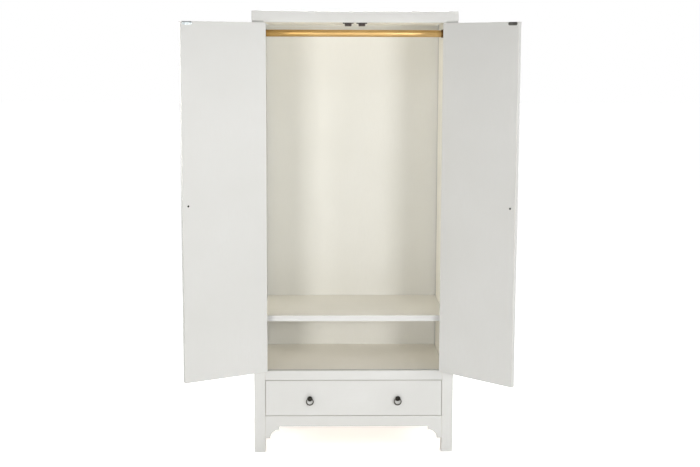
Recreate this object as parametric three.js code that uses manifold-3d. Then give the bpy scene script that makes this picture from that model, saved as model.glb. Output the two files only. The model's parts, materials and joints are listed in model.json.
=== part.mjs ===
// A two-door wardrobe: four posts, a plain cornice, a hanging rail, a low shelf and one drawer
// over a bracketed apron. Ring pulls hang from domed studs on the doors and the drawer.
// Millimetres, +Z up. The origin is the centre of the underside of the front left foot, +X runs
// along the front to the right foot, and +Y runs from the front to the back.
// The doors stand open and swing on pins just in front of the posts; the drawer is shut.

import * as THREE from "three";
import { mergeVertices } from "three/addons/utils/BufferGeometryUtils.js";
import Module from "manifold-3d";

const wasm = await Module();
wasm.setup();

// Carcass
const HEIGHT = 1985;
const WIDTH = 900; // over the posts
const DEPTH = 530; // front of the front posts to the back of the rear posts
const POST = 50; // square front posts
const SIDE_INNER = 411; // centre line to a side panel's inner face
const SIDE_THICK = 22;
const REAR_POST = 39; // width of a rear post
const BACK_Y = 512; // front face of the back panel
const BACK_THICK = 6;
const CEILING = 1935; // underside of the top, and of its front rail
const CORNICE_BOTTOM = 1942; // the underside over the posts is notched up to here
const CORNICE_PROUD = 6; // the cornice stands this far in front of the posts
const CORNICE_SIDE = 1; // and this far out from them at each side
const FRONT_RAIL_THICK = 22;
const MID_RAIL = [336.5, 380.5]; // bottom and top of the rail over the drawer
const FLOOR_THICK = 18;
const SHELF = [599.4, 627]; // bottom and top of the shelf
const SHELF_SETBACK = 36;
const CLEAT = [12, 18]; // width and height of a shelf cleat
const APRON = [119.5, 169.5]; // bottom and top of the apron between its brackets
const BRACKET_DROP = 64.5; // height of a bracket's lowest edge above the ground
const BRACKET_FLAT = 21; // length of that edge
const BRACKET_RADIUS = 40; // hollow quarter round between that edge and the step
const BRACKET_STEP = 2; // lean of the step up to the apron's edge
const BACK_RAIL_HEIGHT = 70;
const GAP = 0.3; // left between pieces that touch

// Hanging rail and its end cups
const RAIL_RADIUS = 16;
const RAIL_Y = 256;
const RAIL_Z = 1892.5;
const CUP_RADIUS = 20;
const CUP_LENGTH = 11;
const CUP_WALL = 3;

// Doors
const DOOR = { bottom: 382, top: 1933, thick: 20, hingeEdge: 398, freeEdge: 1.5 };
const OPEN_ANGLE = { left: 151, right: 136 }; // degrees from closed
const PIN_X = 399;
const PIN_Y = -5;
const HINGE_HEIGHTS = [502, 1157.5, 1813];
const HINGE = { half: 40, barrel: 4.5, pin: 2.4, bore: 2.8, pinTop: 30, leaf: 2.1, from: 0.5 };
const HINGE_FRAME_LEAF_BACK = 20;
const HINGE_DOOR_LEAF_BACK = 18;

// Catches under the top and their strikes on the doors
const CATCH_X = 30;
const CATCH = { flange: 47, flangeThick: 4.2, top: 28, bottom: 25, drop: 15.4, front: 23, deep: 20 };
const STRIKE = { width: 46, height: 14, thick: 1.6, inset: 6 };

// Drawer
const DRAWER = { halfWidth: 398, bottom: 171.5, top: 334.5, thick: 20, back: 440 };
const DRAWER_SIDE = { outer: 388, thick: 12, bottom: 176, top: 312 };
const DRAWER_FLOOR = [184, 190];
const RUNNER = { inner: 372, guide: 389, bottom: 155.7, top: 175.7, guideTop: 205 };

// Ring pulls
const DRAWER_PULL_X = 199;
const DRAWER_PULL_Z = 253;
const DOOR_PULL_INSET = 25; // from the door's free edge
const DOOR_PULL_Z = 1153;
const EYE = { out: 7.6, radius: 3.8 }; // cross hole through the stud's neck
const RING = { middle: 15.4, wire: 2.4, drop: 15.2 };
const SCREW_HOLE = 2.7;
const SCREW = { shank: 2.3, head: 4.5, headHigh: 2.6, reach: 2.7 };

const FINISH = {
  lacquer: { color: 0xe6e5e0, roughness: 0.42, metalness: 0 },
  cream: { color: 0xe2dccb, roughness: 0.5, metalness: 0 },
  pine: { color: 0xc9a979, roughness: 0.65, metalness: 0 },
  gold: { color: 0xc79a4b, roughness: 0.3, metalness: 1 },
  iron: { color: 0x2f2d2a, roughness: 0.45, metalness: 0.9 },
  bronze: { color: 0x5a4630, roughness: 0.4, metalness: 0.9 },
  brown: { color: 0x3a2720, roughness: 0.45, metalness: 0 },
  steel: { color: 0x9a9a97, roughness: 0.35, metalness: 1 },
};

const SIDES = [
  ["left", -1],
  ["right", 1],
];

// A named mesh with a finish of its own.
function piece(name, finish, geometry) {
  const mesh = new THREE.Mesh(geometry, new THREE.MeshStandardMaterial(FINISH[finish]));
  mesh.name = name;
  return mesh;
}

// A rectangular block between two values on each axis, given in either order.
function block([x0, x1], [y0, y1], [z0, z1]) {
  const size = [x1 - x0, y1 - y0, z1 - z0].map(Math.abs);
  const middle = [(x0 + x1) / 2, (y0 + y1) / 2, (z0 + z1) / 2];
  return new THREE.BoxGeometry(...size).translate(...middle);
}

function blockPiece(name, finish, x, y, z) {
  return piece(name, finish, block(x, y, z));
}

// A shape carried along a straight line.
function prism(shape, length) {
  return new THREE.ExtrudeGeometry(shape, { depth: length, bevelEnabled: false, curveSegments: 8 });
}

// A shape drawn in X and Z, carried from y0 to y1.
function prismAlongY(shape, [y0, y1]) {
  return prism(shape, y1 - y0).rotateX(Math.PI / 2).translate(0, y1, 0);
}

// A shape drawn in X and Y, carried from z0 to z1.
function prismAlongZ(shape, [z0, z1]) {
  return prism(shape, z1 - z0).translate(0, 0, z0);
}

function outline(points) {
  return new THREE.Shape(points.map(([a, b]) => new THREE.Vector2(a, b)));
}

// A profile of [radius, height] turned round the Y axis. It starts and ends on the axis.
function turned(profile, segments) {
  return new THREE.LatheGeometry(
    profile.map(([r, h]) => new THREE.Vector2(r, h)),
    segments,
  );
}

function cylinderAlongZ(radius, [x, y], [z0, z1], segments = 16) {
  return new THREE.CylinderGeometry(radius, radius, z1 - z0, segments)
    .rotateX(Math.PI / 2)
    .translate(x, y, (z0 + z1) / 2);
}

function cylinderAlongY(radius, [x, z], [y0, y1], segments = 16) {
  return new THREE.CylinderGeometry(radius, radius, y1 - y0, segments).translate(x, (y0 + y1) / 2, z);
}

function solid(geometry) {
  const bare = geometry.clone();
  bare.deleteAttribute("normal");
  bare.deleteAttribute("uv");
  const merged = mergeVertices(bare, 1e-4);
  return new wasm.Manifold(
    new wasm.Mesh({
      numProp: 3,
      vertProperties: merged.attributes.position.array,
      triVerts: new Uint32Array(merged.index.array),
    }),
  );
}

function surface(manifold) {
  const made = manifold.getMesh();
  const geometry = new THREE.BufferGeometry();
  geometry.setAttribute("position", new THREE.BufferAttribute(made.vertProperties, 3));
  geometry.setIndex(new THREE.BufferAttribute(made.triVerts, 1));
  geometry.computeVertexNormals();
  return geometry;
}

function join(first, ...others) {
  return surface(others.reduce((sum, g) => sum.add(solid(g)), solid(first)));
}

function cut(body, ...tools) {
  return surface(tools.reduce((rest, g) => rest.subtract(solid(g)), solid(body)));
}

// Posts: the front ones are let in for the hinges' frame leaves.
function posts() {
  const made = [];
  const height = [0, CORNICE_BOTTOM - GAP];
  const outer = WIDTH / 2;
  for (const [side, s] of SIDES) {
    const recesses = HINGE_HEIGHTS.map((z) =>
      block(
        [s * (outer - POST - 1), s * (PIN_X + HINGE.from + HINGE.leaf + GAP)],
        [-1, HINGE_FRAME_LEAF_BACK + GAP],
        [z - HINGE.half - GAP, z + HINGE.half + GAP],
      ),
    );
    const front = block([s * (outer - POST), s * outer], [0, POST], height);
    made.push(piece(`post_front_${side}`, "lacquer", cut(front, ...recesses)));
    made.push(
      blockPiece(
        `post_rear_${side}`,
        "lacquer",
        [s * (outer - REAR_POST), s * outer],
        [DEPTH - POST, DEPTH],
        height,
      ),
    );
  }
  return made;
}

// A board's outline from a to b along one axis, whose lower corners carry hollow brackets.
function bracketed(a, b, top) {
  const shape = new THREE.Shape();
  const cove = BRACKET_FLAT + BRACKET_RADIUS;
  shape.moveTo(a, top);
  shape.lineTo(a, BRACKET_DROP);
  shape.lineTo(a + BRACKET_FLAT, BRACKET_DROP);
  shape.absarc(a + cove, BRACKET_DROP, BRACKET_RADIUS, Math.PI, Math.PI / 2, true);
  shape.lineTo(a + cove + BRACKET_STEP, APRON[0]);
  shape.lineTo(b - cove - BRACKET_STEP, APRON[0]);
  shape.lineTo(b - cove, BRACKET_DROP + BRACKET_RADIUS);
  shape.absarc(b - cove, BRACKET_DROP, BRACKET_RADIUS, Math.PI / 2, 0, true);
  shape.lineTo(b, BRACKET_DROP);
  shape.lineTo(b, top);
  return shape;
}

function sidePanels() {
  return SIDES.map(([side, s]) => {
    const shape = bracketed(POST + GAP, DEPTH - POST - GAP, CORNICE_BOTTOM - GAP);
    // The outline is drawn in Y and Z, so the prism's own length becomes X.
    const panel = prism(shape, SIDE_THICK).rotateX(Math.PI / 2).rotateZ(Math.PI / 2);
    const x = s > 0 ? SIDE_INNER : -SIDE_INNER - SIDE_THICK;
    panel.translate(x, 0, 0);
    return piece(`side_panel_${side}`, "lacquer", panel);
  });
}

// The top and its front rail share one section: full width above, stepped in between the posts.
function corniceSection() {
  const out = WIDTH / 2 + CORNICE_SIDE;
  const step = WIDTH / 2 - POST - GAP;
  return outline([
    [-out, HEIGHT],
    [-out, CORNICE_BOTTOM],
    [-step, CORNICE_BOTTOM],
    [-step, CEILING],
    [step, CEILING],
    [step, CORNICE_BOTTOM],
    [out, CORNICE_BOTTOM],
    [out, HEIGHT],
  ]);
}

function cornice() {
  const railBack = FRONT_RAIL_THICK - CORNICE_PROUD;
  const section = corniceSection();
  return [
    piece("top_rail", "lacquer", prismAlongY(section, [-CORNICE_PROUD, railBack])),
    piece("top_board", "lacquer", prismAlongY(section, [railBack + GAP, DEPTH])),
  ];
}

function frontRails() {
  const half = WIDTH / 2 - POST - GAP;
  const apron = prismAlongY(bracketed(-half, half, APRON[1]), [0, FRONT_RAIL_THICK]);
  return [
    blockPiece("mid_rail", "lacquer", [-half, half], [0, FRONT_RAIL_THICK], MID_RAIL),
    piece("front_apron", "lacquer", apron),
  ];
}

// A board between the side panels, notched at its front corners round the front posts.
function notchedBoard(name, front, [bottom, top]) {
  const wide = SIDE_INNER - GAP;
  const narrow = WIDTH / 2 - POST - GAP;
  const notch = POST + GAP;
  const back = BACK_Y - GAP;
  const shape = outline([
    [-narrow, front],
    [narrow, front],
    [narrow, notch],
    [wide, notch],
    [wide, back],
    [-wide, back],
    [-wide, notch],
    [-narrow, notch],
  ]);
  return piece(name, "cream", prismAlongZ(shape, [bottom, top]));
}

function cabinetFloorAndShelf() {
  const made = [
    notchedBoard("cabinet_floor", FRONT_RAIL_THICK + GAP, [MID_RAIL[1] - FLOOR_THICK, MID_RAIL[1]]),
    notchedBoard("shelf", SHELF_SETBACK, SHELF),
  ];
  for (const [side, s] of SIDES) {
    const outer = SIDE_INNER - GAP;
    const top = SHELF[0] - GAP;
    made.push(
      blockPiece(
        `shelf_cleat_${side}`,
        "cream",
        [s * (outer - CLEAT[0]), s * outer],
        [POST + 2, BACK_Y - 20],
        [top - CLEAT[1], top],
      ),
    );
  }
  return made;
}

// The back panel, and three rails behind it between the rear posts.
function back() {
  const half = SIDE_INNER - GAP;
  const top = CEILING - GAP;
  const railY = [BACK_Y + BACK_THICK + GAP, DEPTH];
  const heights = { lower: APRON[0], middle: 960, upper: top - BACK_RAIL_HEIGHT };
  const rails = Object.entries(heights).map(([place, z]) =>
    blockPiece(`back_rail_${place}`, "lacquer", [-half, half], railY, [z, z + BACK_RAIL_HEIGHT]),
  );
  const panelY = [BACK_Y, BACK_Y + BACK_THICK];
  return [blockPiece("back_panel", "cream", [-half, half], panelY, [APRON[0], top]), ...rails];
}

// The hanging rail lies along X, in a cup on each side panel.
function hangingRail() {
  const outer = SIDE_INNER - GAP;
  const floor = CUP_LENGTH - CUP_WALL;
  const cup = [
    [0, 0],
    [CUP_RADIUS, 0],
    [CUP_RADIUS, CUP_LENGTH],
    [RAIL_RADIUS + 2 * GAP, CUP_LENGTH],
    [RAIL_RADIUS + 2 * GAP, CUP_LENGTH - floor],
    [0, CUP_LENGTH - floor],
  ];
  const half = outer - CUP_WALL - 2 * GAP;
  const bar = piece(
    "hanging_rail",
    "gold",
    new THREE.CylinderGeometry(RAIL_RADIUS, RAIL_RADIUS, 2 * half, 32),
  );
  bar.rotation.z = Math.PI / 2;
  bar.position.set(0, RAIL_Y, RAIL_Z);
  const cups = SIDES.map(([side, s]) => {
    const made = piece(`rail_cup_${side}`, "bronze", turned(cup, 32));
    made.rotation.z = (s * Math.PI) / 2;
    made.position.set(s * outer, RAIL_Y, RAIL_Z);
    return made;
  });
  return [bar, ...cups];
}

// A magnetic catch: a tapered case under a screwed flange, against the ceiling.
function catches() {
  const top = CEILING - GAP;
  const under = top - CATCH.flangeThick;
  const half = [CATCH.flange / 2, CATCH.top / 2, CATCH.bottom / 2];
  return SIDES.map(([side, s]) => {
    const x = s * CATCH_X;
    const shape = outline([
      [x - half[0], top],
      [x - half[0], under],
      [x - half[1], under],
      [x - half[2], top - CATCH.drop],
      [x + half[2], top - CATCH.drop],
      [x + half[1], under],
      [x + half[0], under],
      [x + half[0], top],
    ]);
    const deep = [CATCH.front, CATCH.front + CATCH.deep];
    return piece(`magnet_catch_${side}`, "brown", prismAlongY(shape, deep));
  });
}

// One leaf of a lift-off hinge, let into the post (s outward) or into the door's edge.
// Its plate lies beside the pin's plane, and its half of the barrel is below or above z.
function hingeLeaf(s, toPost, z) {
  const t = toPost ? s : -s;
  const x = s * PIN_X;
  const plate = [x + t * HINGE.from, x + t * (HINGE.from + HINGE.leaf)];
  const depth = toPost ? HINGE_FRAME_LEAF_BACK : HINGE_DOOR_LEAF_BACK;
  const half = toPost ? [z - HINGE.half, z - GAP] : [z + GAP, z + HINGE.half];
  const parts = [
    block(plate, [PIN_Y, 1], half),
    cylinderAlongZ(HINGE.barrel, [x, PIN_Y], half, 20),
  ];
  if (toPost) parts.push(cylinderAlongZ(HINGE.pin, [x, PIN_Y], [z - 2, z + HINGE.pinTop]));
  const leaf = join(block(plate, [0.9, depth], [z - HINGE.half, z + HINGE.half]), ...parts);
  if (toPost) return leaf;
  return cut(leaf, cylinderAlongZ(HINGE.bore, [x, PIN_Y], [z - 1, z + HINGE.pinTop + 1]));
}

const HINGE_NAMES = ["bottom", "middle", "top"];

function frameLeaves() {
  return SIDES.flatMap(([side, s]) =>
    HINGE_HEIGHTS.map((z, i) =>
      piece(`hinge_frame_${side}_${HINGE_NAMES[i]}`, "steel", hingeLeaf(s, true, z)),
    ),
  );
}

// A pull on a face that looks along -Y: a domed stud with a cross hole, its ring and its screw.
// The group's origin is on the face, at the stud's axis.
function pull(tag) {
  const stud = [
    [0, 3.3],
    [SCREW_HOLE, 3.3],
    [SCREW_HOLE, GAP],
    [8, GAP],
    [8, 1.6],
    [6.4, 2.6],
    [6, 3.4],
    [6, 12.2],
    [11.2, 12.8],
    [12, 13.8],
    [11.5, 15.8],
    [9.9, 17.9],
    [7.2, 19.6],
    [3.8, 20.6],
    [0, 20.9],
  ];
  const eye = new THREE.CylinderGeometry(EYE.radius, EYE.radius, 20, 16);
  eye.rotateZ(Math.PI / 2).translate(0, EYE.out, 0);
  const body = piece(`pull_stud_${tag}`, "iron", cut(turned(stud, 24), eye));
  body.rotation.x = Math.PI;

  const ring = piece(
    `pull_ring_${tag}`,
    "iron",
    new THREE.TorusGeometry(RING.middle, RING.wire, 10, 32),
  );
  ring.rotation.x = Math.PI / 2;
  ring.position.set(0, -EYE.out, -RING.drop);

  const inner = DOOR.thick + GAP;
  const screw = [
    [0, -SCREW.reach],
    [SCREW.shank, -SCREW.reach],
    [SCREW.shank, inner],
    [SCREW.head, inner],
    [SCREW.head - 0.6, inner + 0.5 * SCREW.headHigh],
    [SCREW.head - 2.4, inner + 0.92 * SCREW.headHigh],
    [0, inner + SCREW.headHigh],
  ];
  const bolt = piece(`pull_screw_${tag}`, "iron", turned(screw, 16));

  const group = new THREE.Group();
  group.add(body, ring, bolt);
  return group;
}

// A door is drawn shut, in the carcass's own frame, inside a group that turns it about its pins.
function door(side, s) {
  const x = [s * DOOR.freeEdge, s * DOOR.hingeEdge];
  const pullX = s * (DOOR.freeEdge + DOOR_PULL_INSET);
  const recesses = HINGE_HEIGHTS.map((z) =>
    block(
      [s * (PIN_X - HINGE.from - HINGE.leaf - GAP), s * (DOOR.hingeEdge + 1)],
      [-1, HINGE_DOOR_LEAF_BACK + GAP],
      [z - HINGE.half - GAP, z + HINGE.half + GAP],
    ),
  );
  const hole = cylinderAlongY(SCREW_HOLE, [pullX, DOOR_PULL_Z], [-1, DOOR.thick + 1]);
  const slab = block(x, [0, DOOR.thick], [DOOR.bottom, DOOR.top]);

  const shut = new THREE.Group();
  shut.position.set(-s * PIN_X, -PIN_Y, 0);
  shut.add(piece(`door_${side}`, "lacquer", cut(slab, hole, ...recesses)));
  HINGE_HEIGHTS.forEach((z, i) => {
    shut.add(piece(`hinge_door_${side}_${HINGE_NAMES[i]}`, "steel", hingeLeaf(s, false, z)));
  });

  const strikeX = s * (DOOR.freeEdge + STRIKE.inset + STRIKE.width / 2);
  const round = STRIKE.height / 2;
  const run = STRIKE.width / 2 - round;
  const shape = new THREE.Shape();
  shape.absarc(run, 0, round, -Math.PI / 2, Math.PI / 2, false);
  shape.absarc(-run, 0, round, Math.PI / 2, (3 * Math.PI) / 2, false);
  const strike = piece(`strike_plate_${side}`, "steel", prismAlongY(shape, [0, STRIKE.thick]));
  strike.position.set(strikeX, DOOR.thick + GAP, DOOR.top - 0.5 - round);
  shut.add(strike);

  const handle = pull(`door_${side}`);
  handle.position.set(pullX, 0, DOOR_PULL_Z);
  shut.add(handle);

  const swung = new THREE.Group();
  swung.position.set(s * PIN_X, PIN_Y, 0);
  swung.rotation.z = s * THREE.MathUtils.degToRad(OPEN_ANGLE[side]);
  swung.add(shut);
  return swung;
}

function drawer() {
  const group = new THREE.Group();
  const holes = SIDES.map(([, s]) =>
    cylinderAlongY(SCREW_HOLE, [s * DRAWER_PULL_X, DRAWER_PULL_Z], [-1, DRAWER.thick + 1]),
  );
  const front = block(
    [-DRAWER.halfWidth, DRAWER.halfWidth],
    [0, DRAWER.thick],
    [DRAWER.bottom, DRAWER.top],
  );
  group.add(piece("drawer_front", "lacquer", cut(front, ...holes)));

  const start = DRAWER.thick + GAP;
  const inner = DRAWER_SIDE.outer - DRAWER_SIDE.thick;
  for (const [side, s] of SIDES) {
    group.add(
      blockPiece(
        `drawer_side_${side}`,
        "pine",
        [s * inner, s * DRAWER_SIDE.outer],
        [start, DRAWER.back],
        [DRAWER_SIDE.bottom, DRAWER_SIDE.top],
      ),
    );
    const handle = pull(`drawer_${side}`);
    handle.position.set(s * DRAWER_PULL_X, 0, DRAWER_PULL_Z);
    group.add(handle);
  }
  const between = [-inner + GAP, inner - GAP];
  const backZ = [DRAWER_FLOOR[1] + GAP, DRAWER_SIDE.top];
  const backY = [DRAWER.back - DRAWER_SIDE.thick, DRAWER.back];
  group.add(blockPiece("drawer_back", "pine", between, backY, backZ));
  group.add(blockPiece("drawer_bottom", "pine", between, [start, DRAWER.back], DRAWER_FLOOR));
  return group;
}

// A runner carries the drawer side on its ledge and keeps it in line with its upstand.
function runners() {
  const outer = SIDE_INNER - GAP;
  return SIDES.map(([side, s]) => {
    const shape = outline([
      [s * RUNNER.inner, RUNNER.bottom],
      [s * outer, RUNNER.bottom],
      [s * outer, RUNNER.guideTop],
      [s * RUNNER.guide, RUNNER.guideTop],
      [s * RUNNER.guide, RUNNER.top],
      [s * RUNNER.inner, RUNNER.top],
    ]);
    const length = [POST + GAP, DEPTH - POST - GAP];
    return piece(`drawer_runner_${side}`, "pine", prismAlongY(shape, length));
  });
}

const wardrobe = new THREE.Group();
const carcass = new THREE.Group();
carcass.position.set(WIDTH / 2 - POST / 2, -POST / 2, 0);
carcass.add(
  ...posts(),
  ...sidePanels(),
  ...cornice(),
  ...frontRails(),
  ...cabinetFloorAndShelf(),
  ...back(),
  ...hangingRail(),
  ...catches(),
  ...frameLeaves(),
  ...runners(),
  drawer(),
  ...SIDES.map(([side, s]) => door(side, s)),
);
wardrobe.add(carcass);

export default wardrobe;
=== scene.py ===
"""A white lacquered wardrobe with open doors: the looks, built round its CAD parts.

Metres, +Z up. The origin is the centre of the underside of the front left foot, +X runs along
the front to the right and +Y runs from the front to the back.
"""

import json
import math
from functools import partial

import bmesh
import bpy
import numpy as np
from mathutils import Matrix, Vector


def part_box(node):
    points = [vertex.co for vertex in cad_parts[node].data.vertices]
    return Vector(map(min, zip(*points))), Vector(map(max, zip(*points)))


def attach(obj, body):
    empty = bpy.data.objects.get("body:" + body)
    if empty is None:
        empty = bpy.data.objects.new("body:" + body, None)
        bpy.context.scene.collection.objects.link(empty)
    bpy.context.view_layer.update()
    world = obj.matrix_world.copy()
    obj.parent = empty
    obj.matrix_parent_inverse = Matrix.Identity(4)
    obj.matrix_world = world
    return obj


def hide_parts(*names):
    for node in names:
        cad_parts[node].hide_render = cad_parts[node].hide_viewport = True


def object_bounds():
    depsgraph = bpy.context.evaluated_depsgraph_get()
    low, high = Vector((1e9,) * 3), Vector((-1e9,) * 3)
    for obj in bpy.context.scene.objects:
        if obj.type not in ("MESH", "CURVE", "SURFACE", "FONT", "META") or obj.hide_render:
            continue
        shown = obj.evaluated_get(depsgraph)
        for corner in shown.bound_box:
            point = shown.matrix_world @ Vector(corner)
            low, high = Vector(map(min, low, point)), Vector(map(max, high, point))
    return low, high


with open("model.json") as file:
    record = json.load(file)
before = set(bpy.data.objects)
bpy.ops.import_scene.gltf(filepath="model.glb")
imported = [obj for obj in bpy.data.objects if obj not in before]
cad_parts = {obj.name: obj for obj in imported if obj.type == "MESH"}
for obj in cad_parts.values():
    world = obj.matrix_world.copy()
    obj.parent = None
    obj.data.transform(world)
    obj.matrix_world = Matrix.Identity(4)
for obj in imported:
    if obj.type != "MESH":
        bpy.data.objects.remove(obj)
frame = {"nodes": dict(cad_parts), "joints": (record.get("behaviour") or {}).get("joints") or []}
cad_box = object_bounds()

MM = 0.001
UP = np.array([0.0, 0.0, 1.0])
SIDES = (("left", -1), ("right", 1))
HINGE_PLACES = ("bottom", "middle", "top")
JOINTS = {joint["name"]: joint for joint in frame["joints"]}


def corners(node):
    """The lowest and highest corner of a CAD node, as arrays."""
    low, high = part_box(node)
    return np.array(low), np.array(high)


MIDDLE_X = (corners("post_front_left")[0][0] + corners("post_front_right")[1][0]) / 2


# ---------------------------------------------------------------------------------------------
# Camera, light and floor
# ---------------------------------------------------------------------------------------------

CAMERA_PLACE = (0.2869, -5.4029, 1.7974)
CAMERA_TURN = math.radians(-1.26)  # to the left of +Y is positive
CAMERA_TILT = math.radians(7.404)  # down
CAMERA_ROLL = math.radians(-0.192)
CAMERA_LENS = 62.79  # mm on a 36 mm sensor
CAMERA_SHIFT = -0.0293

BACKGROUND = 1.0  # what the camera sees past the floor
SKY_LEVEL = 0.04  # what lights the wardrobe
FLOOR_GLOW = (0.6, 0.97)  # by the wardrobe, and away from it, over the reach below
FLOOR_GLOW_REACH = (0.5, 2.4)
FLOOR_GLOW_CAST = 0.2  # the share of that glow that reaches the wardrobe
TOP_LIGHT_SIZE = (0.9, 0.5)
TOP_LIGHT_SPREAD = math.radians(40)
TOP_LIGHT_Y = 0.25
TOP_LIGHT_ABOVE = 1.2  # over the top of the wardrobe
TOP_LIGHT_WATTS = 9.0
# name, degrees round to the right of the front, height off the floor, distance, width, height, watts
SOFTBOXES = (
    ("softbox_left", -22, 1.35, 4.8, 1.0, 0.7, 80.0),
    ("softbox_right", 22, 1.6, 4.8, 1.0, 0.7, 66.0),
    ("softbox_far_left", -60, 1.5, 3.5, 1.0, 1.0, 18.0),
    ("softbox_far_right", 51, 1.5, 3.5, 1.0, 1.0, 35.0),
    ("softbox_high", -15, 3.6, 3.6, 1.4, 1.4, 10.0),
    ("softbox_back_left", -124, 1.8, 4.5, 2.0, 2.0, 90.0),
    ("softbox_back_right", 124, 1.8, 4.5, 2.0, 2.0, 90.0),
)


def add_camera():
    """Stands the camera at eye height in front of the wardrobe, a little left of its middle."""
    right = np.array([math.cos(CAMERA_TURN), math.sin(CAMERA_TURN), 0.0])
    level = np.array([-math.sin(CAMERA_TURN), math.cos(CAMERA_TURN), 0.0])
    ahead = math.cos(CAMERA_TILT) * level - math.sin(CAMERA_TILT) * UP
    above = math.sin(CAMERA_TILT) * level + math.cos(CAMERA_TILT) * UP
    cos_roll, sin_roll = math.cos(CAMERA_ROLL), math.sin(CAMERA_ROLL)
    across = cos_roll * right - sin_roll * above
    above = sin_roll * right + cos_roll * above
    data = bpy.data.cameras.new("camera")
    data.sensor_width = 36
    data.lens = CAMERA_LENS
    data.shift_y = CAMERA_SHIFT
    data.clip_start, data.clip_end = 0.05, 100
    camera = bpy.data.objects.new("camera", data)
    matrix = np.eye(4)
    matrix[:3, 0], matrix[:3, 1], matrix[:3, 2] = across, above, -ahead
    matrix[:3, 3] = CAMERA_PLACE
    camera.matrix_world = matrix.T.tolist()
    bpy.context.scene.collection.objects.link(camera)
    bpy.context.scene.camera = camera


def node(tree, kind, inputs=None, **settings):
    """Adds a shader node. settings are its properties.

    inputs gives each socket a value, a hex colour, an output, or a node whose first output it takes.
    """
    made = tree.nodes.new("ShaderNode" + kind)
    for key, value in settings.items():
        setattr(made, key, value)
    for key, value in (inputs or {}).items():
        if isinstance(value, bpy.types.Node):
            value = value.outputs[0]
        if isinstance(value, bpy.types.NodeSocket):
            tree.links.new(value, made.inputs[key])
        else:
            made.inputs[key].default_value = linear(value) if isinstance(value, str) else value
    return made


def linear(code):
    """An sRGB hex colour as the linear colour that a socket takes."""
    parts = [int(code[i : i + 2], 16) / 255 for i in (1, 3, 5)]
    return (*(c / 12.92 if c <= 0.04045 else ((c + 0.055) / 1.055) ** 2.4 for c in parts), 1.0)


def add_sky():
    """A dim white studio above the floor's level, and plain white where the camera looks past."""
    world = bpy.data.worlds.new("studio")
    world.use_nodes = True
    world.node_tree.nodes.clear()
    add = partial(node, world.node_tree)
    where = add("TexCoord").outputs["Generated"]
    height = add("SeparateXYZ", {0: where}).outputs["Z"]
    above = add("Math", {0: height, 1: 0.0}, operation="GREATER_THAN")
    level = add("Math", {0: above, 1: SKY_LEVEL}, operation="MULTIPLY")
    light = add("Background", {"Color": "#ffffff", "Strength": level})
    seen = add("Background", {"Color": "#ffffff", "Strength": BACKGROUND})
    camera = add("LightPath").outputs["Is Camera Ray"]
    add("OutputWorld", {"Surface": add("MixShader", {0: camera, 1: light, 2: seen})})
    bpy.context.scene.world = world


def add_top_light():
    """A small gridded panel above, whose narrow beam reaches the top of the wardrobe."""
    data = bpy.data.lights.new("top_light", "AREA")
    data.shape = "RECTANGLE"
    data.size, data.size_y = TOP_LIGHT_SIZE
    data.spread = TOP_LIGHT_SPREAD
    data.energy = TOP_LIGHT_WATTS
    lamp = bpy.data.objects.new("top_light", data)
    lamp.location = (MIDDLE_X, TOP_LIGHT_Y, cad_box[1][2] + TOP_LIGHT_ABOVE)
    lamp.visible_camera = False
    bpy.context.scene.collection.objects.link(lamp)


def add_softboxes():
    """Rectangular softboxes round the wardrobe, each aimed at its middle."""
    middle = (np.array(cad_box[0]) + np.array(cad_box[1])) / 2
    for name, degrees, height, distance, wide, high, power in SOFTBOXES:
        around = math.radians(degrees)
        stand = middle + distance * np.array([math.sin(around), -math.cos(around), 0.0])
        stand[2] = height
        data = bpy.data.lights.new(name, "AREA")
        data.shape = "RECTANGLE"
        data.size, data.size_y = wide, high
        data.energy = power
        data.color = linear("#fffdfa" if name == "softbox_left" else "#ffffff")[:3]
        lamp = bpy.data.objects.new(name, data)
        lamp.location = stand
        lamp.visible_camera = False
        lamp.rotation_mode = "QUATERNION"
        lamp.rotation_quaternion = Vector(stand - middle).to_track_quat("Z", "Y")
        bpy.context.scene.collection.objects.link(lamp)


# ---------------------------------------------------------------------------------------------
# Finishes
# ---------------------------------------------------------------------------------------------


NOISE = {"From Min": 0.3, "From Max": 0.7}  # a noise texture keeps nearly all its values in here


def start_finish(name):
    """An empty material, what adds a node to it, and its piece's Object coordinates."""
    material = bpy.data.materials.new(name)
    material.use_nodes = True
    material.node_tree.nodes.clear()
    add = partial(node, material.node_tree)
    return material, add, add("TexCoord").outputs["Object"]


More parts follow.
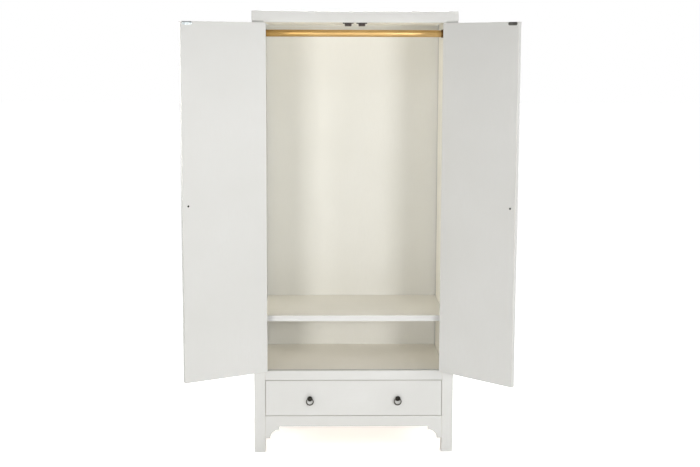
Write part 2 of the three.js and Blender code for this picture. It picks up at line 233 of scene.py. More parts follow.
def sprayed_lacquer(name, colour, cloud, along=(1, 1, 12), gloss=(0.36, 0.46), outer=None):
    """Satin lacquer sprayed over primed wood and rubbed down.

    The eye gets an even off-white with a faint cloud where the coats differ, the long marks of
    the rubbing block, a fine orange peel, and a few specks of dust under the last coat. outer is
    (axis, middle, reach), and the outer coat begins farther than reach from that middle.
    """
    material, add, where = start_finish(name)
    coats = add("TexNoise", {"Vector": where, "Scale": 1 / 0.35, "Detail": 2.0})
    drawn = add("Mapping", {"Vector": where, "Scale": [1 / stretch for stretch in along]})
    # Paper marks are under 1 mm wide, drawn at 4 mm so that they show.
    rubbing = add("TexNoise", {"Vector": drawn, "Scale": 1 / (4 * MM), "Detail": 4.0})
    # Real orange peel is about 1.5 mm across, drawn at 3 mm.
    peel = add("TexNoise", {"Vector": where, "Scale": 1 / (3 * MM), "Detail": 1.0})
    dust = add("TexVoronoi", {"Vector": where, "Scale": 1 / (45 * MM)})
    nibs = add("MapRange", {"Value": dust, "From Max": 0.035, "To Min": 1.0, "To Max": 0.0})
    clouded = add("MapRange", {"Value": coats, **NOISE})
    marked = add("MapRange", {"Value": rubbing, **NOISE, "To Max": 0.5})
    base = add("MixRGB", {"Fac": clouded, "Color1": colour, "Color2": cloud})
    base = add("MixRGB", {"Fac": marked, "Color1": base, "Color2": cloud})
    if outer:
        axis, middle, reach = outer
        across = add("SeparateXYZ", {0: where}).outputs[axis]
        off = add("Math", {0: across, 1: middle}, operation="SUBTRACT")
        off = add("Math", {0: off}, operation="ABSOLUTE")
        past = add("Math", {0: off, 1: reach}, operation="GREATER_THAN")
        base = add("MixRGB", {"Fac": past, "Color1": base, "Color2": OUTER_COAT})
    relief = add("Bump", {"Height": peel, "Distance": 0.06 * MM, "Strength": 0.5})
    relief = add("Bump", {"Height": rubbing, "Distance": 0.08 * MM, "Strength": 0.4, "Normal": relief})
    relief = add("Bump", {"Height": nibs, "Distance": 0.12 * MM, "Strength": 0.4, "Normal": relief})
    rough = {"Value": rubbing, **NOISE, "To Min": gloss[0], "To Max": gloss[1]}
    shader = {"Base Color": base, "Roughness": add("MapRange", rough), "IOR": 1.5, "Normal": relief}
    add("OutputMaterial", {"Surface": add("BsdfPrincipled", shader)})
    return material


def drawn_gold_tube():
    """Steel tube plated gold and drawn through a die: satin, with fine lines along its length.

    Air and handling have dulled it in long patches. Painted shade darkens its left half towards
    the left end, and painted shade darkens both ends by the cups.
    """
    material, add, where = start_finish("drawn_gold_tube")
    low, high = corners("hanging_rail")
    drawn = add("Mapping", {"Vector": where, "Scale": (1 / 60, 1, 1)})
    # Die lines are finer than 0.2 mm, drawn at 1.2 mm.
    lines = add("TexNoise", {"Vector": drawn, "Scale": 1 / (1.2 * MM), "Detail": 3.0})
    long = add("Mapping", {"Vector": where, "Scale": (1 / 5, 1, 1)})
    patches = add("TexNoise", {"Vector": long, "Scale": 1 / (22 * MM), "Detail": 3.0})
    dulled = add("MapRange", {"Value": patches, **NOISE})
    lined = add("MapRange", {"Value": lines, **NOISE, "To Max": 0.35})
    base = add("MixRGB", {"Fac": dulled, "Color1": "#e8c68c", "Color2": "#d8b276"})
    base = add("MixRGB", {"Fac": lined, "Color1": base, "Color2": "#b08a4e"})
    along = add("SeparateXYZ", {0: where}).outputs["X"]
    # Painted shade: the left half is darker towards the left end.
    painted_left_shade = {"Value": along, "From Min": low[0], "From Max": MIDDLE_X, "To Min": 0.7, "To Max": 0.0}
    base = add("MixRGB", {"Fac": add("MapRange", painted_left_shade), "Color1": base, "Color2": "#b38f52"})
    # Painted shade: each end darkens over its last 30 mm, by the cups.
    off = add("Math", {0: along, 1: MIDDLE_X}, operation="SUBTRACT")
    off = add("Math", {0: off}, operation="ABSOLUTE")
    half = (high[0] - low[0]) / 2
    painted_cup_shade = add("MapRange", {"Value": off, "From Min": half - 0.03, "From Max": half, "To Max": 0.5})
    base = add("MixRGB", {"Fac": painted_cup_shade, "Color1": base, "Color2": "#6b4a20"})
    rough = {"Value": patches, **NOISE, "To Min": 0.3, "To Max": 0.42}
    relief = add("Bump", {"Height": lines, "Distance": 0.05 * MM, "Strength": 0.5})
    shader = {"Base Color": base, "Metallic": 1.0, "Roughness": add("MapRange", rough), "Normal": relief}
    add("OutputMaterial", {"Surface": add("BsdfPrincipled", shader)})
    return material


def bronzed_cup():
    """Zinc casting with a dark bronze wash: brown-black, with brass showing on high spots."""
    material, add, where = start_finish("bronzed_cup")
    wash = add("TexNoise", {"Vector": where, "Scale": 1 / (5 * MM), "Detail": 3.0})
    grain = add("TexNoise", {"Vector": where, "Scale": 1 / (0.8 * MM), "Detail": 2.0})
    shown = add("MapRange", {"Value": wash, **NOISE})
    rough = {"Value": wash, **NOISE, "To Min": 0.32, "To Max": 0.5}
    shader = {
        "Base Color": add("MixRGB", {"Fac": shown, "Color1": "#4a3722", "Color2": "#7a5a30"}),
        "Metallic": 1.0,
        "Roughness": add("MapRange", rough),
        "Normal": add("Bump", {"Height": grain, "Distance": 0.06 * MM, "Strength": 0.5}),
    }
    add("OutputMaterial", {"Surface": add("BsdfPrincipled", shader)})
    return material


def blackened_iron(name, colour, rubbed):
    """Forged iron, blackened in oil and waxed.

    Hammer facets a few millimetres wide catch soft grey light, the scale between them is
    nearly black, and fingers have rubbed some spots greyer.
    """
    material, add, where = start_finish(name)
    facets = {"Vector": where, "Scale": 1 / (3.2 * MM), "Smoothness": 0.6}
    facets = add("TexVoronoi", facets, feature="SMOOTH_F1")
    scale = add("TexNoise", {"Vector": where, "Scale": 1 / (0.9 * MM), "Detail": 3.0})
    worn = add("TexNoise", {"Vector": where, "Scale": 1 / (7 * MM), "Detail": 2.0})
    shown = add("MapRange", {"Value": worn, "From Min": 0.35, "From Max": 0.75})
    rough = {"Value": scale, **NOISE, "To Min": 0.3, "To Max": 0.46}
    relief = add("Bump", {"Height": facets, "Distance": 0.35 * MM, "Strength": 0.5})
    relief = add("Bump", {"Height": scale, "Distance": 0.05 * MM, "Strength": 0.4, "Normal": relief})
    shader = {
        "Base Color": add("MixRGB", {"Fac": shown, "Color1": colour, "Color2": rubbed}),
        "Metallic": 1.0,
        "Roughness": add("MapRange", rough),
        "Normal": relief,
    }
    add("OutputMaterial", {"Surface": add("BsdfPrincipled", shader)})
    return material


def moulded_brown_plastic():
    """Catch cases moulded in dark brown ABS: a fine spark texture with a low waxy shine."""
    material, add, where = start_finish("moulded_brown_plastic")
    spark = add("TexNoise", {"Vector": where, "Scale": 1 / (0.6 * MM), "Detail": 2.0})
    flow = add("TexNoise", {"Vector": where, "Scale": 1 / (12 * MM), "Detail": 2.0})
    shown = add("MapRange", {"Value": flow, **NOISE})
    rough = {"Value": spark, **NOISE, "To Min": 0.42, "To Max": 0.55}
    shader = {
        "Base Color": add("MixRGB", {"Fac": shown, "Color1": "#241a15", "Color2": "#30231c"}),
        "Roughness": add("MapRange", rough),
        "IOR": 1.53,
        "Normal": add("Bump", {"Height": spark, "Distance": 0.04 * MM, "Strength": 0.6}),
    }
    add("OutputMaterial", {"Surface": add("BsdfPrincipled", shader)})
    return material


def zinc_steel(name, bright, dull, gloss=(0.22, 0.38)):
    """Pressed steel with a zinc plate: grey, with faint spangle and wipe marks."""
    material, add, where = start_finish(name)
    spangle = add("TexVoronoi", {"Vector": where, "Scale": 1 / (2.5 * MM)}).outputs["Color"]
    level = add("SeparateColor", {0: spangle})
    shown = add("MapRange", {"Value": level, "To Max": 0.8})
    drawn = add("Mapping", {"Vector": where, "Scale": (1, 1, 1 / 9)})
    wiped = add("TexNoise", {"Vector": drawn, "Scale": 1 / (1.1 * MM), "Detail": 4.0})
    rough = {"Value": wiped, **NOISE, "To Min": gloss[0], "To Max": gloss[1]}
    shader = {
        "Base Color": add("MixRGB", {"Fac": shown, "Color1": bright, "Color2": dull}),
        "Metallic": 1.0,
        "Roughness": add("MapRange", rough),
        "Normal": add("Bump", {"Height": wiped, "Distance": 0.03 * MM, "Strength": 0.4}),
    }
    add("OutputMaterial", {"Surface": add("BsdfPrincipled", shader)})
    return material


def sealed_pine(name, turned):
    """Pine under a clear sealer, sawn so that its rings run as long flames.

    turned is the rotation that lays the grain's axis along Z. Rings are about 4 mm apart, each
    a pale band that deepens to a thin orange line, and short pores run with them.
    """
    material, add, where = start_finish(name)
    laid = add("Mapping", {"Vector": where, "Rotation": turned, "Location": (0.07, -0.16, 0.31)})
    bent = add("Mapping", {"Vector": laid, "Scale": (1, 1, 0.07)})
    drawn = add("Mapping", {"Vector": laid, "Scale": (1, 1, 0.03)})
    turns = {"Vector": bent, "Scale": 1 / (2 * math.pi * 4 * MM), "Distortion": 7.0}
    turns.update({"Detail": 3.0, "Detail Scale": 0.9})
    rings = add("TexWave", turns, wave_type="RINGS", rings_direction="Z", wave_profile="SAW")
    rings = rings.outputs["Fac"]
    # Pores are about 0.1 mm wide, drawn at 0.8 mm.
    pores = add("TexNoise", {"Vector": drawn, "Scale": 1 / (0.8 * MM), "Detail": 2.0})
    broad = add("TexNoise", {"Vector": bent, "Scale": 1 / 0.05, "Detail": 2.0})
    late = add("MapRange", {"Value": rings, "From Min": 0.45})
    warm = add("MapRange", {"Value": broad, **NOISE, "To Max": 0.5})
    dark = {"Value": pores, "From Min": 0.25, "From Max": 0.45, "To Min": 0.35, "To Max": 0.0}
    rough = {"Value": pores, **NOISE, "To Min": 0.62, "To Max": 0.48}
    base = add("MixRGB", {"Fac": late, "Color1": "#dcbd8b", "Color2": "#b98849"})
    base = add("MixRGB", {"Fac": warm, "Color1": base, "Color2": "#caa36a"})
    base = add("MixRGB", {"Fac": add("MapRange", dark), "Color1": base, "Color2": "#8d6130"})
    relief = add("Bump", {"Height": rings, "Distance": 0.06 * MM, "Strength": 0.5})
    relief = add("Bump", {"Height": pores, "Distance": 0.08 * MM, "Strength": 0.5, "Normal": relief})
    shader = {"Base Color": base, "Roughness": add("MapRange", rough), "IOR": 1.5, "Normal": relief}
    add("OutputMaterial", {"Surface": add("BsdfPrincipled", shader)})
    return material


def opal_floor():
    """A studio floor of matt opal acrylic, lit faintly from below, with a soft mottle."""
    material, add, where = start_finish("opal_floor")
    cast = add("TexNoise", {"Vector": where, "Scale": 1 / 0.02, "Detail": 3.0})
    shown = add("MapRange", {"Value": cast, **NOISE})
    away = add("VectorMath", {0: where, 1: (MIDDLE_X, 0, 0)}, operation="DISTANCE").outputs["Value"]
    glow = {"Value": away, "From Min": FLOOR_GLOW_REACH[0], "From Max": FLOOR_GLOW_REACH[1]}
    glow.update({"To Min": FLOOR_GLOW[0], "To Max": FLOOR_GLOW[1]})
    seen = add("LightPath").outputs["Is Camera Ray"]
    share = add("MapRange", {"Value": seen, "To Min": FLOOR_GLOW_CAST})
    glow = add("Math", {0: add("MapRange", glow), 1: share}, operation="MULTIPLY")
    shader = {
        "Base Color": add("MixRGB", {"Fac": shown, "Color1": "#fbfbfa", "Color2": "#f8f8f7"}),
        "Roughness": 0.9,
        "Specular IOR Level": 0.2,
        "Emission Color": "#ffffff",
        "Emission Strength": glow,
    }
    add("OutputMaterial", {"Surface": add("BsdfPrincipled", shader)})
    return material


RUBBED = {"along": (3, 3, 3), "gloss": (0.28, 0.36)}  # arrises take a shorter, closer rub
SIDEWAYS = (12, 1, 1)  # the rubbing block runs along X
OUTER_COAT = "#cbcbc9"
OUTER_CLOUD = "#c7c7c4"
# Boards with a cream inner coat, made lighter than the outer coat as painted light, and where the outer
# coat begins on each: beyond the middle of the side panels' thickness, above the top's underside, and on
# the shelf's front and back edges.
PAST_PANELS = ("X", MIDDLE_X, MIDDLE_X - sum(c[0] for c in corners("side_panel_left")) / 2)
UNDER_TOP = ("Z", corners("top_board")[0][2], 2 * MM)
SHELF_Y = [c[1] for c in corners("shelf")]
SHELF_EDGES = ("Y", sum(SHELF_Y) / 2, (SHELF_Y[1] - SHELF_Y[0]) / 2 - 1.5 * MM)
LACQUER = sprayed_lacquer("off_white_lacquer", OUTER_COAT, OUTER_CLOUD)
LACQUER_ACROSS = sprayed_lacquer("off_white_lacquer_across", OUTER_COAT, OUTER_CLOUD, SIDEWAYS)
LACQUER_EDGE = sprayed_lacquer("off_white_lacquer_edge", "#cbc9c2", "#c5c2ba", **RUBBED)
# The cream coats are a real cream tint made lighter than the outer coat as painted light: the back panel
# and cleats a little, the side panels and the top more, and the shelf and cabinet floor most, as painted
# light falling from above.
LIT_CREAM = sprayed_lacquer("cream_lacquer", "#e1e0da", "#dddcd5")
LIT_CREAM_SIDE = sprayed_lacquer("cream_lacquer_side", "#f6f3e8", "#f2efe4", outer=PAST_PANELS)
LIT_CREAM_ACROSS = sprayed_lacquer("cream_lacquer_across", "#fbf7ee", "#f7f3e9", SIDEWAYS)
LIT_CREAM_SHELF = sprayed_lacquer("cream_lacquer_shelf", "#fbf8f0", "#f7f4eb", SIDEWAYS, outer=SHELF_EDGES)
LIT_CREAM_TOP = sprayed_lacquer("cream_lacquer_top", "#f6f3e8", "#f2efe4", SIDEWAYS, outer=UNDER_TOP)
LIT_CREAM_EDGE = sprayed_lacquer("cream_lacquer_edge", "#dad8d0", "#d4d1c7", **RUBBED)
GOLD = drawn_gold_tube()
BRONZE = bronzed_cup()
IRON = blackened_iron("blackened_iron", "#242320", "#403e39")
IRON_RING = blackened_iron("blackened_iron_ring", "#413e38", "#5f5a50")
BROWN = moulded_brown_plastic()
ZINC = zinc_steel("zinc_plated_steel", "#b2b8b8", "#90969a")
# A darker copy of the zinc steel as painted shade: on the right strike, and on the catch screws under the
# top.
ZINC_SHADED = zinc_steel("tarnished_zinc_steel", "#6e6d69", "#504e4a", (0.4, 0.55))
# Pole plates near black.
POLE_STEEL = zinc_steel("browned_pole_steel", "#3a3431", "#2a2522", (0.5, 0.62))
PINE_Y = sealed_pine("sealed_pine_along_y", (math.pi / 2, 0, 0))
PINE_X = sealed_pine("sealed_pine_along_x", (0, math.pi / 2, 0))


# ---------------------------------------------------------------------------------------------
# Surfaces
# ---------------------------------------------------------------------------------------------

MERGE = 1e-6
CREASE = math.radians(32)
LOOP, SHEET = "loop", "sheet"
EDGE_STEPS = 3
SCREW_TURNS = 40


def skin(name, grids, finish):
    """Makes one object from grids of points.

    A grid is (points, kind): points is rows x columns x 3, and the columns of a LOOP close on
    themselves. Equal points are merged, so a row drawn in to one point closes a pole.
    """
    vertices, faces = [], []
    start = 0
    for points, kind in grids:
        rows, columns = points.shape[:2]
        index = start + np.arange(rows * columns).reshape(rows, columns)
        if kind == LOOP:
            index = np.concatenate([index, index[:, :1]], axis=1)
        quads = np.stack([index[:-1, :-1], index[:-1, 1:], index[1:, 1:], index[1:, :-1]], axis=-1)
        faces.append(quads.reshape(-1, 4))
        vertices.append(points.reshape(-1, 3))
        start += rows * columns
    mesh = bpy.data.meshes.new(name)
    mesh.from_pydata(np.concatenate(vertices).tolist(), [], np.concatenate(faces).tolist())
    mesh.materials.append(finish)
    shape = bmesh.new()
    shape.from_mesh(mesh)
    bmesh.ops.remove_doubles(shape, verts=shape.verts, dist=MERGE)
    bmesh.ops.dissolve_degenerate(shape, dist=MERGE, edges=shape.edges)
    bmesh.ops.recalc_face_normals(shape, faces=shape.faces)
    shape.to_mesh(mesh)
    shape.free()
    mesh.shade_smooth()
    mesh.set_sharp_from_angle(angle=CREASE)
    made = bpy.data.objects.new(name, mesh)
    bpy.context.scene.collection.objects.link(made)
    return made


def dress(piece, body, slot, *nodes):
    """Makes a finished piece ride its body, and stand for the CAD nodes that it replaces."""
    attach(piece, body)
    if nodes:
        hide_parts(*nodes)


def place(points, origin, side, above, out):
    """Takes points drawn as (side, above, out) to where those directions lie from an origin."""
    return np.asarray(origin) + points @ np.array([side, above, out], float)


def turn(profile, turns):
    """A profile of (radius, height) carried round the out axis: x = r cos a, y = r sin a, z = h."""
    profile = np.array(profile, float)
    angle = 2 * np.pi * np.arange(turns) / turns
    radius, height = profile[:, :1], profile[:, 1:]
    around = [radius * np.cos(angle), radius * np.sin(angle), height + 0 * angle]
    return np.stack(around, axis=-1)


def arc(centre, radius, start, end, steps):
    """Points of a circle's arc between two angles in degrees."""
    angle = np.radians(np.linspace(start, end, steps + 1))
    return np.stack([centre[0] + radius * np.cos(angle), centre[1] + radius * np.sin(angle)], -1)


def board(low, high, radius, joints=()):
    """A box with rounded edges, as six grids.

    Each point q of the box's surface is drawn to the nearest point c of a box that is smaller
    by the radius, and set at that radius from it: p = c + radius (q - c) / |q - c|. A face named
    in joints, such as "+y", meets another board, so its edges stay sharp.
    """
    low, high = np.array(low, float), np.array(high, float)
    inset = np.array([[radius * (f"{sign}{axis}" not in joints) for axis in "xyz"] for sign in "-+"])
    inner_low, inner_high = low + inset[0], high - inset[1]
    spacing = 1 - np.tan(np.radians(np.linspace(45, 0, EDGE_STEPS + 1)))
    ladders = []
    for axis in range(3):
        first = low[axis] + inset[0, axis] * spacing
        last = high[axis] - inset[1, axis] * spacing[::-1]
        ladders.append(np.unique(np.round(np.concatenate([first, last]), 9)))
    grids = []
    for axis in range(3):
        a, b = [i for i in range(3) if i != axis]
        for end in (low[axis], high[axis]):
            u, v = np.meshgrid(ladders[a], ladders[b], indexing="ij")
            q = np.empty((*u.shape, 3))
            q[..., a], q[..., b], q[..., axis] = u, v, end
            c = np.clip(q, inner_low, inner_high)
            out = q - c
            length = np.linalg.norm(out, axis=-1, keepdims=True)
            p = np.where(length > 0, c + radius * out / np.maximum(length, 1e-12), q)
            grids.append((p, SHEET))
    return grids


def screw_head(radius, height, slot=0.9 * MM, deep=0.8 * MM, angle=0.6):
    """A domed head with a straight slot, on the out axis.

    The dome is h sqrt(1 - (r/R)^2), and it drops by the slot's depth where a point is nearer
    than half the slot's width to the slot's line.
    """
    share = np.array([1.0, 0.99, 0.95, 0.88, 0.78, 0.66, 0.53, 0.4, 0.27, 0.14, 0.0])
    points = turn(np.stack([radius * share, height * np.sqrt(1 - share**2)], -1), SCREW_TURNS)
    across = np.abs(points[..., 0] * math.sin(angle) - points[..., 1] * math.cos(angle))
    points[..., 2] -= deep * (across < slot / 2) * (points[..., 2] > 0.1 * height)
    skirt = points[:1].copy()
    skirt[..., 2] = -0.3 * MM
    return np.concatenate([skirt, points])


# ---------------------------------------------------------------------------------------------
# Boards
# ---------------------------------------------------------------------------------------------


def ease(name, finish, edge, width=0.8 * MM):
    """Gives a CAD board its finish, and rounds its arrises, which wear the rubbed edge finish."""
    board_object = frame["nodes"][name]
    slots = board_object.data.materials
    slots.clear()
    slots.append(finish)
    slots.append(edge)
    weld = board_object.modifiers.new("weld", "WELD")
    weld.merge_threshold = 0.02 * MM
    rounding = board_object.modifiers.new("eased_arris", "BEVEL")
    rounding.width = width
    rounding.segments = 3
    rounding.limit_method = "ANGLE"
    rounding.angle_limit = math.radians(30)
    rounding.use_clamp_overlap = False
    rounding.material = 1
    rounding.harden_normals = False


UPRIGHT = [f"{name}_{side}" for name in ("post_front", "post_rear", "door") for side, _ in SIDES]
ACROSS = ["mid_rail", "front_apron", "drawer_front"]
ACROSS += [f"back_rail_{height}" for height in ("lower", "middle", "upper")]
CORNICE_ROUND = 4 * MM
CORNICE_ARRIS = 1.5 * MM
POST_GAP = 0.3 * MM


def cornice():
    """The top and its front rail, carried along as one rounded outline each.

    The outline is a rectangle with a quarter round at each free corner. It is drawn in by a
    quarter circle over the last few millimetres of each free end, and its underside steps up
    over the posts.
    """
    low, high = corners("top_rail")
    post_top = corners("post_front_left")[1][2]
    step = [corners("post_front_left")[1][0], corners("post_front_right")[0][0]]
    raised = post_top + POST_GAP
    turns = np.radians(np.linspace(0, 90, 6))
    drawn_in = CORNICE_ROUND * (1 - np.sin(turns))
    along = CORNICE_ROUND * (1 - np.cos(turns))

    x = np.concatenate([low[0] + along, [step[0], step[0], step[1], step[1]], high[0] - along[::-1]])
    inset = np.concatenate([drawn_in, np.zeros(4), drawn_in[::-1]])
    under = np.full(len(x), raised)
    under[len(along) + 1 : len(along) + 3] = low[2]
    front_top = arc((low[1] + CORNICE_ROUND, high[2] - CORNICE_ROUND), CORNICE_ROUND, 180, 90, 6)
    front_low = arc((low[1] + CORNICE_ARRIS, CORNICE_ARRIS), CORNICE_ARRIS, 270, 180, 4)
    rows = []
    for across, draw, bottom in zip(x, inset, under):
        lower = front_low + [0, bottom]
        loop = np.concatenate([[[high[1], bottom]], lower, front_top, [[high[1], high[2]]]])
        loop[:, 0] = np.maximum(loop[:, 0], low[1] + draw)
        loop[:, 1] = np.clip(loop[:, 1], bottom + draw, high[2] - draw)
        rows.append(np.column_stack([np.full(len(loop), across), loop]))
    rows = np.array(rows)
    ends = [np.stack([rows[i], np.broadcast_to(rows[i].mean(0), rows[i].shape)]) for i in (0, -1)]
    rail = skin("cornice_rail", [(rows, LOOP), (ends[0], LOOP), (ends[1], LOOP)], LACQUER_ACROSS)
    dress(rail, "carcass", "lacquer_white", "top_rail")

    low, high = corners("top_board")
    y = np.concatenate([[low[1]], high[1] - along[::-1]])
    inset = np.concatenate([[0.0], drawn_in[::-1]])
    left = arc((low[0] + CORNICE_ROUND, high[2] - CORNICE_ROUND), CORNICE_ROUND, 180, 90, 6)
    right = arc((high[0] - CORNICE_ROUND, high[2] - CORNICE_ROUND), CORNICE_ROUND, 90, 0, 6)
    foot = [[high[0], raised], [step[1], raised], [step[1], low[2]]]
    foot += [[step[0], low[2]], [step[0], raised], [low[0], raised]]
    outline = np.concatenate([left, right, foot])
    rows = []
    for back, draw in zip(y, inset):
        loop = outline.copy()
        loop[:, 0] = np.clip(loop[:, 0], low[0] + draw, high[0] - draw)
        loop[:, 1] = np.minimum(loop[:, 1], high[2] - draw)
        rows.append(np.column_stack([loop[:, 0], np.full(len(loop), back), loop[:, 1]]))
    rows = np.array(rows)
    middle = rows.mean(1, keepdims=True)
    middle[..., 2] = (raised + high[2]) / 2
    ends = [np.stack([rows[i], np.broadcast_to(middle[i], rows[i].shape)]) for i in (0, -1)]
    top = skin("cornice_top", [(rows, LOOP), (ends[0], LOOP), (ends[1], LOOP)], LIT_CREAM_TOP)
    dress(top, "carcass", "lacquer_white", "top_board")


def boards():
    """Gives every board its finish. The drawer's box is left in the sealed wood."""
    for name in UPRIGHT:
        ease(name, LACQUER, LACQUER_EDGE)
    for name in ACROSS:
        ease(name, LACQUER_ACROSS, LACQUER_EDGE)
    for side, _ in SIDES:
        ease(f"side_panel_{side}", LIT_CREAM_SIDE, LACQUER_EDGE)
        ease(f"shelf_cleat_{side}", LIT_CREAM, LIT_CREAM_EDGE)
        ease(f"drawer_side_{side}", PINE_Y, PINE_Y)
        ease(f"drawer_runner_{side}", PINE_Y, PINE_Y)
    ease("shelf", LIT_CREAM_SHELF, LIT_CREAM_EDGE, 1.2 * MM)
    ease("cabinet_floor", LIT_CREAM_ACROSS, LIT_CREAM_EDGE, 1.2 * MM)
    ease("back_panel", LIT_CREAM, LIT_CREAM_EDGE, 0.4 * MM)
    ease("drawer_back", PINE_X, PINE_X)
    ease("drawer_bottom", PINE_X, PINE_X, 0.4 * MM)


# ---------------------------------------------------------------------------------------------
# Rail, catches and strikes
# ---------------------------------------------------------------------------------------------


def hanging_rail():
    """A tube between two cups: circles carried along X, with a small round at each end."""
    low, high = corners("hanging_rail")
    centre = (low + high) / 2
    radius = (high[2] - low[2]) / 2
    length = high[0] - low[0]
    soft = 1.2 * MM
    start = arc((radius - soft, soft), soft, -90, 0, 4)
    end = arc((radius - soft, length - soft), soft, 0, 90, 4)
    profile = np.concatenate([[[0, 0]], start, end, [[0, length]]])
    origin = [low[0], centre[1], centre[2]]
    tube = place(turn(profile, 96), origin, (0, 1, 0), UP, (1, 0, 0))
    dress(skin("rail_tube", [(tube, LOOP)], GOLD), "carcass", "rail_gold", "hanging_rail")

    for side, s in SIDES:
        low, high = corners(f"rail_cup_{side}")
        wide, deep = (high[2] - low[2]) / 2, high[0] - low[0]
        bore = radius + 0.5 * MM
        profile = [[0, 0], [wide - 0.6 * MM, 0], [wide, 0.8 * MM], [wide, 2.6 * MM]]
        profile += arc((wide - 1.4 * MM, 2.6 * MM), 1.4 * MM, 0, 90, 4).tolist()
        profile += [[wide - 1.9 * MM, 4.4 * MM], [wide - 1.9 * MM, deep - 0.9 * MM]]
        profile += arc((wide - 2.7 * MM, deep - 0.8 * MM), 0.8 * MM, 0, 180, 6).tolist()
        profile += [[bore, 3 * MM], [0, 3 * MM]]
        origin = [low[0] if s < 0 else high[0], centre[1], centre[2]]
        cup = place(turn(profile, 64), origin, (0, -s, 0), UP, (-s, 0, 0))
        name = f"rail_cup_{side}"
        dress(skin(f"turned_{name}", [(cup, LOOP)], BRONZE), "carcass", "cup_bronze", name)


FLANGE_THICK = 4.2 * MM
CASE_HALF = 15.5 * MM
CASE_TAPER = 0.1
POLE_OFFSETS = (-6.5 * MM, 6.5 * MM)
POLE_PROUD = 0.2 * MM
CATCH_SCREW_OFFSETS = (-18.6 * MM, 18.6 * MM)


def magnet_catches():
    """A tapered case under a flange, two steel pole plates in its front and a screw each side.

    The case is a rounded box whose width shrinks in step with its depth below the flange.
    """
    for side, _ in SIDES:
        name = f"magnet_catch_{side}"
        low, high = corners(name)
        x = (low[0] + high[0]) / 2
        flange = high[2] - FLANGE_THICK
        case_high = [CASE_HALF, high[1], flange + 0.5 * MM]
        case = board([-CASE_HALF, low[1], low[2]], case_high, 1.2 * MM, ["+z"])
        for points, _ in case:
            points[..., 0] *= 1 - CASE_TAPER * (flange - points[..., 2]) / (flange - low[2])
            points[..., 0] += x
        plate = board([low[0], low[1], flange], [high[0], high[1], high[2]], 1.0 * MM, ["+z"])
        dress(skin(f"catch_case_{side}", case + plate, BROWN), "carcass", "catch_brown", name)

        poles = []
        for offset in POLE_OFFSETS:
            mid = x + offset
            poles += board(
                [mid - 1.0 * MM, low[1] - POLE_PROUD, low[2] + 1.8 * MM],
                [mid + 1.0 * MM, low[1] + 3 * MM, flange - 1.2 * MM],
                0.3 * MM,
            )
        dress(skin(f"catch_poles_{side}", poles, POLE_STEEL), "carcass", "hinge_steel")

        heads = []
        for offset in CATCH_SCREW_OFFSETS:
            origin = [x + offset, (low[1] + high[1]) / 2, flange + 0.1 * MM]
            head = place(screw_head(3.4 * MM, 1.5 * MM), origin, (1, 0, 0), (0, -1, 0), -UP)
            heads.append((head, LOOP))
        dress(skin(f"catch_screws_{side}", heads, ZINC_SHADED), "carcass", "hinge_steel")


def door_angle(side):
    """How far a door stands open at rest, anticlockwise from above, and its pin's place."""
    joint = JOINTS[f"{side}_door_hinge"]
    return math.radians(-joint["range_deg"][0]) * joint["axis"][2], np.array(joint["pos_m"])


def swing(points, side):
    """Turns points drawn on the shut door about the door's pins to where it stands open."""
    angle, pin = door_angle(side)
    cos, sin = math.cos(angle), math.sin(angle)
    matrix = np.array([[cos, -sin, 0], [sin, cos, 0], [0, 0, 1]])
    return (points - pin) @ matrix.T + pin


FACE_Y = corners("drawer_front")[0][1]
DOOR_THICK = 20 * MM
DOOR_FREE_EDGE = 1.5 * MM
STRIKE_INSET = 6 * MM
STRIKE = (46 * MM, 14 * MM, 1.6 * MM)  # width, height, thickness
STRIKE_SCREWS = 0.85  # of the way to the centres of the round ends


def strike_plates():
    """A steel plate with round ends on each door, held by two countersunk screws.

    The plate is a stadium: a circle whose two halves are set apart along X. Its rows shrink to
    the line between the circles' centres.
    """
    width, height, thick = STRIKE
    run = width / 2 - height / 2
    angle = 2 * np.pi * np.arange(64) / 64
    sides = run * np.sign(np.round(np.cos(angle), 9))
    for side, s in SIDES:
        top = corners(f"strike_plate_{side}")[1][2]
        rim = 0.5 * MM
        radius = height / 2
        rows = [(radius, 0.0)]
        rows += arc((radius - rim, thick - rim), rim, 0, 90, 3).tolist()
        rows += [(0.4 * radius, thick), (0.0, thick)]
        rows = [(0.0, 0.0)] + rows
        rows = [[sides + r * np.cos(angle), r * np.sin(angle), h + 0 * angle] for r, h in rows]
        points = np.moveaxis(np.array(rows), 1, -1)
        x = MIDDLE_X + s * (DOOR_FREE_EDGE + STRIKE_INSET + width / 2)
        origin = np.array([x, FACE_Y + DOOR_THICK + 0.1 * MM, top - height / 2])
        plate = swing(place(points, origin, (-1, 0, 0), UP, (0, 1, 0)), side)
        # The right strike takes the darker zinc as painted shade; the left takes the brighter zinc.
        finish = ZINC if side == "left" else ZINC_SHADED
        made = skin(f"strike_{side}", [(plate, LOOP)], finish)
        dress(made, f"{side}_door", "hinge_steel", f"strike_plate_{side}")
        heads = []
        for offset in (-run * STRIKE_SCREWS, run * STRIKE_SCREWS):
            spot = origin + [offset, thick - 0.1 * MM, 0]
            head = place(screw_head(3.0 * MM, 0.7 * MM, angle=offset * 90), spot, (-1, 0, 0), UP, (0, 1, 0))
            heads.append((swing(head, side), LOOP))
        dress(skin(f"strike_screws_{side}", heads, finish), f"{side}_door", "hinge_steel")


# ---------------------------------------------------------------------------------------------
# Hinges
# ---------------------------------------------------------------------------------------------

